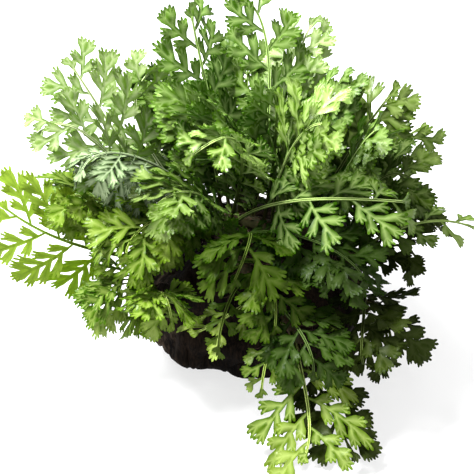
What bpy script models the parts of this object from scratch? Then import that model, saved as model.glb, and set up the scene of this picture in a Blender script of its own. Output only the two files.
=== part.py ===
"""An African water fern grown on a chunk of dark driftwood.

The frame: the origin is the middle of the wood's flat underside, +Z is up, +X runs to the right
as the fern is seen from its front, and -Y is the front. Sizes are in metres, written as
millimetres times MM.

The pieces: the driftwood, five stretches of creeping rhizome that lie on it, and the fronds that
rise from them. A frond is one closed solid: a stalk, the rib that continues it, and the lobed
leaflets on both sides and at its tip.
"""

import math

import bmesh
import bpy
from mathutils import Vector
from mathutils.bvhtree import BVHTree

MM = 0.001
GAP = 0.3 * MM  # left between pieces that touch
UP = Vector((0, 0, 1))

# Driftwood
WOOD_LENGTH = 88 * MM
WOOD_DEPTH = 74 * MM
WOOD_HEIGHT = 56 * MM
WOOD_YAW = math.radians(-9)  # its right end is nearer the front
WOOD_SQUARENESS = 4.2  # of its section: 2 is an ellipse
WOOD_SINK = 8 * MM  # of its rounded belly, worn off below the flat underside
WOOD_END_LIFT = 6 * MM  # how far the left end rises clear of the ground
WOOD_STATIONS = 18
WOOD_SIDES = 22

# Rhizomes
RHIZOME_RADIUS = 2.3 * MM
RHIZOME_TAPER = 0.3  # of its radius, lost by its growing end
RHIZOME_CLEARANCE = 1.0 * MM  # over the wood's uneven surface
RHIZOME_STATIONS = 9
RHIZOME_SIDES = 6

# Fronds
STALK_HALF_WIDTH = 0.9 * MM
STALK_HALF_THICKNESS = 0.7 * MM
TIP_HALF_WIDTH = 0.4 * MM
TIP_HALF_THICKNESS = 0.35 * MM
STALK_SHARE = 0.27  # of the frond's length is bare
STALK_SEGMENTS = 2
LEAFLET_PITCH = 6.6 * MM  # along the rib, from one leaflet to the next on the other side
LEAFLET_KEEL = 0.45 * MM  # half its thickness at the middle
LEAFLET_MIDDLE = 0.5  # how far out the middle is
SPINE_STEPS = 32
LEAF_ROUGHNESS = 0.45
SQUARE_START = 0.1  # of the spine, over which the stalk's end turns square to the rhizome
ROOT_GAP = 0.5 * MM  # between the stalk's end and the rhizome's ridges

# A leaflet's lobes and the notches between them, in order round its edge: how far out, as a share
# of its length, and how far towards the frond's tip, as a share of its width.
LEAFLET_OUTLINE = [(0.5, -0.5), (0.7, -0.24), (1.0, -0.03), (0.78, 0.25), (0.62, 0.5)]
LEAFLET_WIDTH = 0.6  # of its length, at most
LEAFLET_ROOM = 0.9  # of the room between two leaflets of one side that one may fill
END_LEAFLET_WIDTH = 0.3  # of its length

# Each rhizome's route over the wood, in millimetres. The points are drawn onto its surface.
RHIZOMES = {
    "rhizome_crest": [(-26, 4, 56), (-13, 2, 60), (0, -1, 62), (14, -4, 60), (27, -8, 56)],
    "rhizome_left": [(-32, 4, 56), (-39, 0, 52), (-48, -5, 42), (-49, -16, 32), (-42, -36, 26)],
    "rhizome_right": [(32, -9, 56), (40, -12, 50), (48, -18, 40), (48, -28, 28)],
    "rhizome_front": [(-10, -7, 60), (-10, -22, 58), (0, -38, 50), (10, -46, 38), (17, -48, 24)],
    "rhizome_back": [(-4, 6, 60), (-5, 16, 58), (2, 32, 50), (14, 34, 38), (24, 32, 26)],
}

# The colours of the leaves, from the bright ones that the light shines through to the shaded ones
LEAF_COLOURS = {
    "yellow": (0.31, 0.49, 0.06),
    "pale": (0.34, 0.51, 0.23),
    "bluish": (0.15, 0.23, 0.15),
    "fresh": (0.15, 0.32, 0.033),
    "green": (0.073, 0.19, 0.022),
    "glossy": (0.21, 0.42, 0.12),
    "olive": (0.073, 0.147, 0.02),
    "dark": (0.015, 0.022, 0.007),
    "lime": (0.32, 0.51, 0.073),
}

# The fronds, in millimetres: the rhizome, how far along it from 0 to 1, a point halfway along the
# frond and its tip, the turn of its face about its rib in degrees, its longest leaflet and its
# colour.
FRONDS = {
    # Those that reach out to the left
    "frond_far_left": ("rhizome_left", 0.5, (-72, -24, 60), (-99, -27, 81), -60, 26, "yellow"),
    "frond_high_left": ("rhizome_left", 0.05, (-57, 3, 98), (-74, 9, 125), -56, 23, "pale"),
    "frond_left": ("rhizome_left", 0.28, (-60, -14, 98), (-84, -15, 100), -40, 19, "pale"),
    "frond_left_bud": ("rhizome_crest", 0.04, (-46, 14, 90), (-39, 18, 118), -40, 18, "pale"),
    "frond_curled": ("rhizome_crest", 0.12, (-47, -18, 93), (-67, -31, 87), -14, 19, "bluish"),
    "frond_left_drooping": ("rhizome_left", 0.6, (-50, -30, 45), (-51, -36, 31), -30, 18, "fresh"),
    "frond_left_low": ("rhizome_left", 0.92, (-39, -44, 51), (-36, -52, 40), -16, 17, "fresh"),
    "frond_left_inner": ("rhizome_left", 0.36, (-60, -14, 70), (-78, -22, 70), -30, 20, "fresh"),
    "frond_left_front": ("rhizome_crest", 0.2, (-38, -30, 74), (-48, -44, 62), -26, 19, "fresh"),
    "frond_left_back": ("rhizome_left", 0.42, (-62, 14, 62), (-84, 24, 60), -20, 21, "green"),
    # Those of the crown, with those that arch forward from it
    "frond_crown_left": ("rhizome_crest", 0.3, (-19, 9, 112), (-25, 15, 145), -18, 24, "green"),
    "frond_crown": ("rhizome_crest", 0.5, (6, 18, 116), (-8, 25, 144), -12, 22, "green"),
    "frond_crown_right": ("rhizome_crest", 0.7, (15, 24, 106), (28, 36, 133), 12, 20, "pale"),
    "frond_high_right": ("rhizome_crest", 0.8, (24, 10, 98), (33, 15, 114), 18, 20, "green"),
    "frond_crown_front": ("rhizome_crest", 0.38, (-11, -2, 98), (-22, -8, 118), -20, 20, "green"),
    "frond_crown_low": ("rhizome_crest", 0.24, (-19, 2, 94), (-28, -2, 113), -22, 19, "green"),
    "frond_crown_middle": ("rhizome_crest", 0.58, (8, -8, 98), (6, -16, 122), 6, 20, "green"),
    "frond_arching": ("rhizome_front", 0.1, (19, -48, 92), (56, -42, 88), 30, 22, "glossy"),
    "frond_bright": ("rhizome_crest", 0.64, (18, -30, 106), (34, -44, 114), 26, 23, "glossy"),
    "frond_bright_left": ("rhizome_front", 0.02, (0, -38, 110), (-14, -54, 114), -18, 19, "glossy"),
    # Those that reach out to the right
    "frond_right_tall": ("rhizome_crest", 0.92, (42, 2, 94), (57, 4, 115), 38, 21, "olive"),
    "frond_right_high": ("rhizome_right", 0.04, (52, -4, 90), (71, -2, 106), 44, 21, "olive"),
    "frond_centre_right": ("rhizome_crest", 0.96, (36, -24, 98), (46, -28, 112), 24, 20, "green"),
    "frond_right": ("rhizome_right", 0.24, (47, -18, 82), (68, -20, 76), 30, 22, "olive"),
    "frond_far_right": ("rhizome_right", 0.4, (66, -10, 61), (92, -9, 57), 10, 13, "olive"),
    "frond_right_inner": ("rhizome_right", 0.16, (44, -28, 78), (55, -38, 76), 30, 20, "olive"),
    "frond_right_drooping": ("rhizome_right", 0.54, (55, -16, 54), (67, -20, 48), 40, 18, "dark"),
    "frond_right_low": ("rhizome_right", 0.86, (52, -34, 28), (58, -40, 11), 44, 20, "dark"),
    "frond_right_back": ("rhizome_right", 0.36, (60, 6, 60), (82, 14, 48), 10, 21, "dark"),
    # Those that hang over the front
    "frond_over_left": ("rhizome_front", 0.2, (-22, -32, 86), (-40, -42, 82), -14, 19, "glossy"),
    "frond_hanging_left": ("rhizome_front", 0.46, (-10, -54, 52), (-14, -62, 32), -8, 17, "fresh"),
    "frond_hanging": ("rhizome_front", 0.38, (5, -54, 62), (6, -66, 44), 4, 19, "fresh"),
    "frond_sprig": ("rhizome_front", 0.56, (-14, -52, 42), (-25, -54, 38), -12, 10, "lime"),
    "frond_middle": ("rhizome_front", 0.3, (-2, -46, 76), (-10, -60, 60), -6, 20, "fresh"),
    "frond_middle_right": ("rhizome_front", 0.24, (22, -50, 76), (36, -64, 66), 12, 20, "green"),
    "frond_across": ("rhizome_right", 0.48, (34, -50, 66), (23, -64, 67), -20, 18, "green"),
    "frond_front": ("rhizome_front", 0.64, (16, -64, 49), (20, -74, 37), 4, 21, "green"),
    "frond_front_right": ("rhizome_right", 0.64, (34, -62, 49), (30, -70, 38), 12, 19, "dark"),
    "frond_corner": ("rhizome_right", 0.98, (49, -44, 47), (55, -50, 30), 26, 18, "dark"),
    "frond_front_left": ("rhizome_front", 0.76, (5, -60, 39), (2, -68, 27), -6, 18, "fresh"),
    "frond_front_low": ("rhizome_front", 0.88, (19, -74, 18), (15, -98, 8), 10, 27, "lime"),
    "frond_front_shaded": ("rhizome_front", 0.98, (29, -74, 15), (35, -90, 7), 12, 18, "dark"),
    # Those of the back
    "frond_back_low_left": ("rhizome_back", 0.5, (-20, 46, 44), (-34, 66, 30), 0, 22, "green"),
    "frond_back_low": ("rhizome_back", 0.78, (6, 54, 34), (0, 78, 16), 0, 22, "green"),
    "frond_back_low_right": ("rhizome_back", 0.96, (36, 50, 30), (50, 70, 20), 0, 22, "green"),
    "frond_back_left": ("rhizome_crest", 0.16, (-38, 28, 72), (-58, 46, 66), 0, 22, "green"),
    "frond_back_middle_left": ("rhizome_back", 0.28, (-18, 42, 76), (-26, 66, 70), 0, 22, "green"),
    "frond_back_middle": ("rhizome_back", 0.4, (6, 46, 70), (12, 72, 58), 0, 22, "green"),
    "frond_back_middle_right": ("rhizome_back", 0.62, (32, 42, 60), (48, 58, 56), 0, 22, "green"),
    "frond_back_right": ("rhizome_crest", 0.86, (42, 24, 76), (62, 38, 78), 0, 22, "green"),
    "frond_back_high_left": ("rhizome_back", 0.06, (-28, 24, 96), (-44, 38, 108), 0, 22, "green"),
    "frond_back_high": ("rhizome_back", 0.16, (0, 32, 100), (4, 52, 112), 0, 22, "green"),
    "frond_back_high_right": ("rhizome_crest", 0.72, (26, 26, 96), (42, 36, 104), 0, 22, "green"),
}

# So that a frond stands clear of the others, its tip may move by whole steps to the side and up,
# and its root by small shares of the rhizome's length. If that fails, its leaflets grow shorter.
STEP_ASIDE = 3 * MM
MOST_STEPS = 4
LOWEST_TIP = 8 * MM
ROOT_MOVES = (0, 0.03, -0.03, 0.06, -0.06)
SPREAD_SHARES = (1, 0.85, 0.7, 0.55)


def smooth_step(low, high, value):
    share = min(max((value - low) / (high - low), 0), 1)
    return share * share * (3 - 2 * share)


def wobble(first, second):
    """A fixed, uneven number from -1 to 1 for each pair of indices."""
    return math.sin(12.9898 * first + 78.233 * second + 1.7)


def plain_material(name, colour, roughness):
    material = bpy.data.materials.new(name)
    material.use_nodes = True
    shader = material.node_tree.nodes["Principled BSDF"]
    shader.inputs["Base Color"].default_value = (*colour, 1)
    shader.inputs["Roughness"].default_value = roughness
    shader.inputs["Metallic"].default_value = 0
    material.diffuse_color = (*colour, 1)
    return material


def add_object(name, mesh, material, smooth):
    bmesh.ops.triangulate(mesh, faces=mesh.faces)
    bmesh.ops.recalc_face_normals(mesh, faces=mesh.faces)
    if mesh.calc_volume(signed=True) < 0:
        bmesh.ops.reverse_faces(mesh, faces=mesh.faces)
    data = bpy.data.meshes.new(name)
    mesh.to_mesh(data)
    mesh.free()
    data.materials.append(material)
    if smooth:
        data.shade_smooth()
    made = bpy.data.objects.new(name, data)
    bpy.context.scene.collection.objects.link(made)
    return made


def tree_of_object(made):
    corners = [vertex.co.copy() for vertex in made.data.vertices]
    return BVHTree.FromPolygons(corners, [tuple(face.vertices) for face in made.data.polygons])


def join_rings(mesh, rings):
    for near, far in zip(rings, rings[1:]):
        for side in range(len(near)):
            following = (side + 1) % len(near)
            mesh.faces.new((near[side], near[following], far[following], far[side]))


def wood_point(along, angle):
    """A point of the wood's skin: along runs from -1 at the left end to 1, angle round the grain."""
    girth = (1 - 0.5 * abs(along) ** 5) ** 0.5
    hump = 0.88 + 0.12 * math.cos(1.9 * (along - 0.1)) - 0.05 * math.sin(4.4 * along + 0.6)
    left_end = smooth_step(0.35, 1.0, -along)
    right_end = smooth_step(0.7, 1.0, along)
    top = WOOD_HEIGHT * hump * girth**0.9
    bottom = (WOOD_END_LIFT + WOOD_SINK) * left_end + 3 * MM * right_end - WOOD_SINK
    ridges = (
        1
        + 0.034 * math.sin(6 * angle + 2.6 * along + 0.7)
        + 0.024 * math.sin(11 * angle - 3.4 * along + 2.1)
        + 0.04 * math.sin(3 * angle + 4.1 * along + 2.0)
        + 0.025 * math.sin(9.5 * along + 2 * angle)
    )
    hollow = math.exp(-(((along + 0.2) / 0.22) ** 2) - ((angle - 4.0) / 0.3) ** 2)
    knot = math.exp(-(((along - 0.42) / 0.16) ** 2) - ((angle - 4.2) / 0.36) ** 2)
    corner = abs(math.cos(angle)) ** WOOD_SQUARENESS + abs(math.sin(angle)) ** WOOD_SQUARENESS
    reach = (ridges - 0.09 * hollow + 0.08 * knot) * corner ** (-1 / WOOD_SQUARENESS)
    across = WOOD_DEPTH / 2 * girth * (1 - 0.18 * left_end) * reach * math.cos(angle)
    across += 3 * MM * math.sin(2.3 * along)
    height = (top + bottom) / 2 + (top - bottom) / 2 * reach * math.sin(angle)
    ragged = 2.6 * MM * math.sin(5 * angle + 1.0) * smooth_step(0.75, 1.0, abs(along))
    length = WOOD_LENGTH / 2 * along + ragged
    turn_x, turn_y = math.cos(WOOD_YAW), math.sin(WOOD_YAW)
    return Vector((length * turn_x - across * turn_y, length * turn_y + across * turn_x, height))


def make_driftwood(material):
    """A worn, blocky chunk with ragged ends and a flat underside that it stands on."""
    mesh = bmesh.new()
    rings = []
    for station in range(WOOD_STATIONS):
        along = math.sin(math.pi / 2 * (2 * station / (WOOD_STATIONS - 1) - 1))
        angles = [math.tau * side / WOOD_SIDES for side in range(WOOD_SIDES)]
        rings.append([mesh.verts.new(wood_point(along, angle)) for angle in angles])
    join_rings(mesh, rings)
    for ring, outward in ((rings[0], -1), (rings[-1], 1)):
        centre = sum((corner.co for corner in ring), Vector()) / WOOD_SIDES
        peak = mesh.verts.new(centre + Vector((outward * 3 * MM, 0, 0)))
        for side in range(WOOD_SIDES):
            mesh.faces.new((ring[side], ring[(side + 1) % WOOD_SIDES], peak))
    skin = mesh.verts[:] + mesh.edges[:] + mesh.faces[:]
    cut = bmesh.ops.bisect_plane(mesh, geom=skin, plane_co=(0, 0, 0), plane_no=UP, clear_inner=True)
    rim = [edge for edge in cut["geom_cut"] if isinstance(edge, bmesh.types.BMEdge)]
    bmesh.ops.contextual_create(mesh, geom=rim)
    return add_object("driftwood", mesh, material, smooth=False)


def curve_through(points, count):
    """That many points on the smooth curve through these."""
    ends = [points[0] * 2 - points[1], *points, points[-1] * 2 - points[-2]]
    found = []
    for step in range(count):
        place = step / (count - 1) * (len(points) - 1)
        index = min(int(place), len(points) - 2)
        t = place - index
        a, b, c, d = ends[index : index + 4]
        bent = b * 2 + (c - a) * t + (a * 2 - b * 5 + c * 4 - d) * t**2
        found.append((bent + (b * 3 - a - c * 3 + d) * t**3) / 2)
    return found


class Rhizome:
    """A stretch of creeping stem: its centre line, and the wood's outward direction under it."""

    def __init__(self, route, wood_tree):
        rough = curve_through([Vector(point) * MM for point in route], RHIZOME_STATIONS)
        self.centres, self.outward = [], []
        for point in rough:
            place, normal, _, _ = wood_tree.find_nearest(point)
            self.centres.append(place + normal * (RHIZOME_RADIUS + RHIZOME_CLEARANCE))
            self.outward.append(normal)

    def radius(self, share):
        return RHIZOME_RADIUS * (1 - RHIZOME_TAPER * share)

    def place(self, share):
        """The centre, the outward direction and the direction along, at this share of its length."""
        index = min(int(share * (RHIZOME_STATIONS - 1)), RHIZOME_STATIONS - 2)
        t = share * (RHIZOME_STATIONS - 1) - index
        near, far = self.centres[index], self.centres[index + 1]
        outward = self.outward[index].lerp(self.outward[index + 1], t).normalized()
        return near.lerp(far, t), outward, (far - near).normalized()

    def build(self, name, material):
        mesh = bmesh.new()
        rings = []
        last = RHIZOME_STATIONS - 1
        for index, centre in enumerate(self.centres):
            ahead, behind = self.centres[min(index + 1, last)], self.centres[max(index - 1, 0)]
            along = (ahead - behind).normalized()
            over = (self.outward[index] - along * along.dot(self.outward[index])).normalized()
            across = along.cross(over)
            radius = self.radius(index / last)
            ring = []
            for side in range(RHIZOME_SIDES):
                angle = math.tau * side / RHIZOME_SIDES
                turned = across * math.cos(angle) + over * math.sin(angle)
                ring.append(mesh.verts.new(centre + turned * radius))
            rings.append(ring)
        join_rings(mesh, rings)
        mesh.faces.new(rings[0])
        mesh.faces.new(rings[-1])
        return add_object(name, mesh, material, smooth=True)


class Spine:
    """The curved rib of a frond, from its root on a rhizome to its tip."""

    def __init__(self, root, leaving, through, tip, turn):
        chord = tip - root
        self.turn, self.leaving = turn, leaving
        self.across = UP.cross(Vector((chord.x, chord.y, 0))).normalized()
        straight = root + chord * 0.41 + leaving * (chord.length * 0.075)
        bend = (through - straight) / 0.544
        start = root + leaving * (chord.length * 0.2) + chord * 0.1 + bend * 0.45
        self.handles = (root, start, root + chord * 0.66 + bend, tip)
        points = [self.curve(step / SPINE_STEPS) for step in range(SPINE_STEPS + 1)]
        self.distances = [0.0]
        for near, far in zip(points, points[1:]):
            self.distances.append(self.distances[-1] + (far - near).length)
        self.length = self.distances[-1]

    def curve(self, t):
        a, b, c, d = self.handles
        return a * (1 - t) ** 3 + b * 3 * t * (1 - t) ** 2 + c * 3 * t**2 * (1 - t) + d * t**3

    def slope(self, t):
        a, b, c, d = self.handles
        slope = (b - a) * (1 - t) ** 2 + (c - b) * 2 * t * (1 - t) + (d - c) * t**2
        return self.leaving.lerp(slope.normalized(), smooth_step(0, SQUARE_START, t)).normalized()

    def share_at(self, distance):
        for step in range(SPINE_STEPS):
            near, far = self.distances[step], self.distances[step + 1]
            if distance <= far:
                return (step + (distance - near) / (far - near)) / SPINE_STEPS
        return 1.0

    def frame(self, distance):
        """The point there, and the directions along the rib, to its left and out of its upper face."""
        t = self.share_at(distance)
        along = self.slope(t)
        left = (self.across - along * self.across.dot(along)).normalized()
        out = along.cross(left)
        left = left * math.cos(self.turn) + out * math.sin(self.turn)
        return self.curve(t), along, left, along.cross(left)


def leaflet_count(spine):
    return max(4, min(8, round(spine.length * (1 - STALK_SHARE) / LEAFLET_PITCH) - 1))


class Leaflet:
    """A leaflet's own curved surface, on the left of the rib for an even index, else on the right."""

    def __init__(self, spine, spread, number, index, count):
        share = (index + 0.5) / (count + 1)
        side = 1 if index % 2 == 0 else -1
        distance = spine.length * (STALK_SHARE + (1 - STALK_SHARE) * share)
        self.base, self.along, left, self.out = spine.frame(distance)
        self.aside = left * side
        self.base += self.aside * STALK_HALF_WIDTH * 0.8
        self.length = spread * math.sin(math.pi * (0.24 + 0.68 * share)) ** 0.8
        self.lean = math.radians(64 - 24 * share + 3 * wobble(number, index))
        room = 2 * spine.length * (1 - STALK_SHARE) / (count + 1) * math.sin(self.lean)
        self.width = min(LEAFLET_WIDTH * self.length, LEAFLET_ROOM * room)
        self.curl = math.radians(16)
        self.droop = math.radians(6 + 12 * wobble(number + 0.5, index))
        self.bend = math.radians(22 + 14 * wobble(number, index + 0.5))
        self.twist = math.radians(9 * wobble(number + 0.3, index + 0.3))

    def point(self, share, forward):
        """The point at this share of its length, and this far towards the frond's tip, and its face."""
        lean = self.lean - self.curl * share / 2
        droop = self.droop + self.bend * share / 2
        flat = self.along * math.cos(lean) + self.aside * math.sin(lean)
        outward = flat * math.cos(droop) - self.out * math.sin(droop)
        face = self.out * math.cos(droop) + flat * math.sin(droop)
        ahead = self.along * math.sin(lean) - self.aside * math.cos(lean)
        ahead = ahead * math.cos(self.twist) + face * math.sin(self.twist)
        return self.base + outward * (self.length * share) + ahead * forward, face


class EndLeaflet:
    """The leaflet that ends a frond, straight on along its rib."""

    def __init__(self, spine, start):
        self.spine, self.start = spine, start
        self.length = spine.length - start
        self.width = END_LEAFLET_WIDTH * self.length

    def point(self, share, forward):
        centre, _, left, out = self.spine.frame(self.start + self.length * share)
        return centre - left * forward, out


class FrondSolid:
    """The closed solid of a frond. extra makes it that much fatter all round."""

    def __init__(self, spine, spread, number, extra=0.0):
        self.points, self.faces, self.extra = [], [], extra
        count = leaflet_count(spine)
        stalk = spine.length * STALK_SHARE
        pitch = (spine.length - stalk) / (count + 1)
        distances = [stalk * step / STALK_SEGMENTS for step in range(STALK_SEGMENTS)]
        distances += [stalk + pitch * index for index in range(count + 1)]
        rib = [self.section(spine, distance) for distance in distances]
        self.faces.append(rib[0])
        for index, (near, far) in enumerate(zip(rib, rib[1:])):
            upper = (near[0], near[1], far[1], far[0])
            lower = (near[3], near[2], far[2], far[3])
            left = (near[0], far[0], far[3], near[3])
            right = (near[1], far[1], far[2], near[2])
            self.faces += [upper, lower]
            number_here = index - STALK_SEGMENTS
            if number_here < 0:
                self.faces += [left, right]
                continue
            carried, bare = (left, right) if number_here % 2 == 0 else (right, left)
            self.faces.append(bare)
            self.add_leaflet(carried, Leaflet(spine, spread, number, number_here, count))
        self.add_leaflet(rib[-1], EndLeaflet(spine, distances[-1]))

    def add(self, point):
        self.points.append(point)
        return len(self.points) - 1

    def section(self, spine, distance):
        """The rib's four corners: upper left, upper right, lower right and lower left."""
        centre, _, left, out = spine.frame(distance)
        taper = distance / spine.length
        width = STALK_HALF_WIDTH * (1 - taper) + TIP_HALF_WIDTH * taper + self.extra
        thickness = STALK_HALF_THICKNESS * (1 - taper) + TIP_HALF_THICKNESS * taper + self.extra
        corners = ((1, 1), (-1, 1), (-1, -1), (1, -1))
        return tuple(self.add(centre + left * width * x + out * thickness * y) for x, y in corners)

    def add_leaflet(self, base, leaflet):
        """base is its upper back, upper front, lower front and lower back corner on the rib."""
        edge = []
        for share, forward in LEAFLET_OUTLINE:
            spare = self.extra / leaflet.length
            wider = forward * leaflet.width + math.copysign(self.extra, forward)
            edge.append(self.add(leaflet.point(share + spare, wider)[0]))
        middle, face = leaflet.point(LEAFLET_MIDDLE, 0)
        keel = LEAFLET_KEEL + self.extra
        for back, front, lift in ((base[0], base[1], keel), (base[3], base[2], -keel)):
            top = self.add(middle + face * lift)
            ring = [back, *edge, front]
            self.faces += [(near, far, top) for near, far in zip(ring, ring[1:] + ring[:1])]
        self.faces += [(base[0], edge[0], base[3]), (base[1], edge[-1], base[2])]

    def tree(self):
        return BVHTree.FromPolygons(self.points, self.faces)

    def crosses_itself(self):
        """Whether two faces that share no corner meet."""
        tree = self.tree()
        met = tree.overlap(tree)
        return any(not set(self.faces[one]) & set(self.faces[other]) for one, other in met)

    def stands_clear(self, taken):
        above = min(point.z for point in self.points) > 0
        tree = self.tree()
        return above and not any(tree.overlap(other) for other in taken)

    def build(self, name, material):
        mesh = bmesh.new()
        corners = [mesh.verts.new(point) for point in self.points]
        for face in self.faces:
            mesh.faces.new([corners[index] for index in face])
        return add_object(name, mesh, material, smooth=False)


def spine_on(rhizome, at, through, tip, turn):
    """The spine that leaves this place on a rhizome's skin."""
    centre, outward, stem = rhizome.place(at)
    aim = (through - centre).normalized() + outward * 0.6
    leaving = (aim - stem * aim.dot(stem)).normalized()
    root = centre + leaving * (rhizome.radius(at) + ROOT_GAP)
    return Spine(root, leaving, through, tip, turn)


def steps_aside():
    """Whole steps to the side and up, the smallest moves first."""
    reach = range(-MOST_STEPS, MOST_STEPS + 1)
    steps = [(aside, up) for aside in reach for up in reach]
    return sorted(steps, key=lambda step: step[0] ** 2 + step[1] ** 2)


def forms_to_try(frond, rhizomes):
    """Each spine and leaflet length that a frond may take, the one nearest to its drawing first."""
    rhizome, at, through, tip, turn, spread, _ = frond
    through, tip = Vector(through) * MM, Vector(tip) * MM
    sideways = UP.cross(Vector((tip.x, tip.y, 0))).normalized()
    for share in SPREAD_SHARES:
        for aside, up in steps_aside():
            move = (sideways * aside + UP * up) * STEP_ASIDE
            if (tip + move).z < min(tip.z, LOWEST_TIP):
                continue
            for root_move in ROOT_MOVES:
                root = min(max(at + root_move, 0), 1)
                middle, end = through + move * 0.5, tip + move
                spine = spine_on(rhizomes[rhizome], root, middle, end, math.radians(turn))
                yield spine, spread * share * MM


def grow_frond(name, number, rhizomes, taken, leaves):
    """The frond in the first form that keeps it clear of the ground and of all that is there."""
    material = leaves[FRONDS[name][-1]]
    for spine, spread in forms_to_try(FRONDS[name], rhizomes):
        solid = FrondSolid(spine, spread, number)
        fatter = FrondSolid(spine, spread, number, GAP)
        if fatter.stands_clear(taken) and not solid.crosses_itself():
            return solid.build(name, material)
    raise ValueError(f"{name} finds no clear place")


def main():
    for leftover in list(bpy.data.objects):
        bpy.data.objects.remove(leftover)
    wood = make_driftwood(plain_material("driftwood", (0.045, 0.03, 0.022), 0.85))
    wood_tree = tree_of_object(wood)
    rhizomes = {name: Rhizome(route, wood_tree) for name, route in RHIZOMES.items()}
    stem = plain_material("rhizome", (0.07, 0.06, 0.03), 0.7)
    leaves = {}
    for name, colour in LEAF_COLOURS.items():
        leaves[name] = plain_material(f"{name}_leaf", colour, LEAF_ROUGHNESS)
    taken = [wood_tree]
    for name, rhizome in rhizomes.items():
        taken.append(tree_of_object(rhizome.build(name, stem)))
    for number, name in enumerate(FRONDS):
        taken.append(tree_of_object(grow_frond(name, number, rhizomes, taken, leaves)))


main()
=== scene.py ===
"""The looks of an African water fern grown on a chunk of dark driftwood.

Sizes are in metres, written as millimetres times MM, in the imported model's frame: the origin is the
middle of the wood's flat underside, +Z is up, +X runs to the right as the fern is seen from its
front, and -Y is the front.

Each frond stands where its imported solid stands. A frond is a grooved rib with leaflets on both
sides, and a leaflet is a narrow blade that carries wedges, each split into blunt fingers.
"""

import math
import random

import bmesh
import bpy
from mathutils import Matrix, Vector, geometry, noise
from mathutils.bvhtree import BVHTree
from mathutils.kdtree import KDTree


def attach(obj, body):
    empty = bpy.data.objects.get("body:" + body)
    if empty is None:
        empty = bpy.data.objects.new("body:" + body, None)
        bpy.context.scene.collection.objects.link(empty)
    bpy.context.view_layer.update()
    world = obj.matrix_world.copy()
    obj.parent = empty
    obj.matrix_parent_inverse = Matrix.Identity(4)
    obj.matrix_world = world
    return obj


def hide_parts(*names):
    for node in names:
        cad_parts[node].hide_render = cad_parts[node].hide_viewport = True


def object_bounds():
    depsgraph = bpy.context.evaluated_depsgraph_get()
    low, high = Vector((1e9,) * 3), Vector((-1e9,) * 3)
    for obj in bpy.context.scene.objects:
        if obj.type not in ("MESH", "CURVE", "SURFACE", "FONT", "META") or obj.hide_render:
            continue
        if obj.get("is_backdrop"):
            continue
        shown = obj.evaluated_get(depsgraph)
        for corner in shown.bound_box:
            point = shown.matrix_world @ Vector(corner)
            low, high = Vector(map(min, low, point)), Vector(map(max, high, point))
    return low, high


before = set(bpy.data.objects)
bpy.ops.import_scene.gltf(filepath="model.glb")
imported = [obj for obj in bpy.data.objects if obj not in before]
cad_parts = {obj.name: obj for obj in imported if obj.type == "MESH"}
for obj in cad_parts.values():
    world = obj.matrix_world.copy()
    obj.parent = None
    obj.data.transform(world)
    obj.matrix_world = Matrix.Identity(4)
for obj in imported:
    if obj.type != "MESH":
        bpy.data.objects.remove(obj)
cad_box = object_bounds()

MM = 0.001
UP = Vector((0, 0, 1))

# Camera and light
VIEW_TARGET = Vector((-7, 0, 49)) * MM
VIEW_HEIGHT = math.radians(30)  # how far above the horizon the camera stands
VIEW_DISTANCE = 400 * MM
LENS = 72
SENSOR = 36
LIT_PLACE = Vector((0, 0, 60)) * MM  # what both lights are aimed at
FLOOR_REACH = 4  # metres

# Driftwood
WOOD_LENGTH = 88 * MM
WOOD_DEPTH = 74 * MM
WOOD_HEIGHT = 56 * MM
WOOD_YAW = math.radians(-9)
WOOD_SQUARENESS = 4.2
WOOD_SINK = 8 * MM
WOOD_END_LIFT = 6 * MM
WOOD_STATIONS = 130
WOOD_SIDES = 190
WOOD_END_RINGS = 12
WOOD_PEAK = 3 * MM  # how far the middle of each broken end stands out
WORN_FROM = 30 * MM  # how far left of the origin the wood begins to be worn grey

# Rhizomes
RHIZOME_RADIUS = 2.3 * MM
RHIZOME_TAPER = 0.3
RHIZOME_CLEARANCE = 1.0 * MM
RHIZOME_STATIONS = 9
GRIP = 0.4 * MM  # how deep the visible stem's underside is grown into the wood
GRIP_REACH = 9 * MM  # how far below the stem's centre line the wood is looked for
STEM_RING = 0.8 * MM
STEM_SIDES = 16
STEM_ROUNDING = 1.6 * MM  # how far from its ends a stem has its full thickness
SCALE_PITCH = 0.22 * MM
ROOT_PITCH = 1.9 * MM
ROOT_STEP = 1.1 * MM
ROOT_SIDES = 5
ROOT_LOWEST = 1.5 * MM

# Fronds
STALK_HALF_WIDTH = 0.9 * MM
STALK_HALF_THICKNESS = 0.7 * MM
TIP_HALF_WIDTH = 0.4 * MM
TIP_HALF_THICKNESS = 0.35 * MM
STALK_SHARE = 0.27
LEAFLET_PITCH = 6.6 * MM
SPINE_STEPS = 32
SQUARE_START = 0.1
ROOT_GAP = 0.5 * MM
LEAFLET_WIDTH = 0.6
LEAFLET_ROOM = 0.9
FEWEST_LEAFLETS = 4
MOST_LEAFLETS = 8
STEP_ASIDE = 3 * MM
MOST_STEPS = 4
ROOT_MOVES = (0, 0.03, -0.03, 0.06, -0.06)
SPREAD_SHARES = (1, 0.85, 0.7, 0.55)
SOLID_TIP = -0.03  # where the end of a solid's leaflet is, as a share of its width
TIP_ERROR = 0.2 * MM  # how far from the solid's corners a form's tip may be
FORM_ERROR = 0.1 * MM  # how far from them its first three leaflets' ends may be in all

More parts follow.
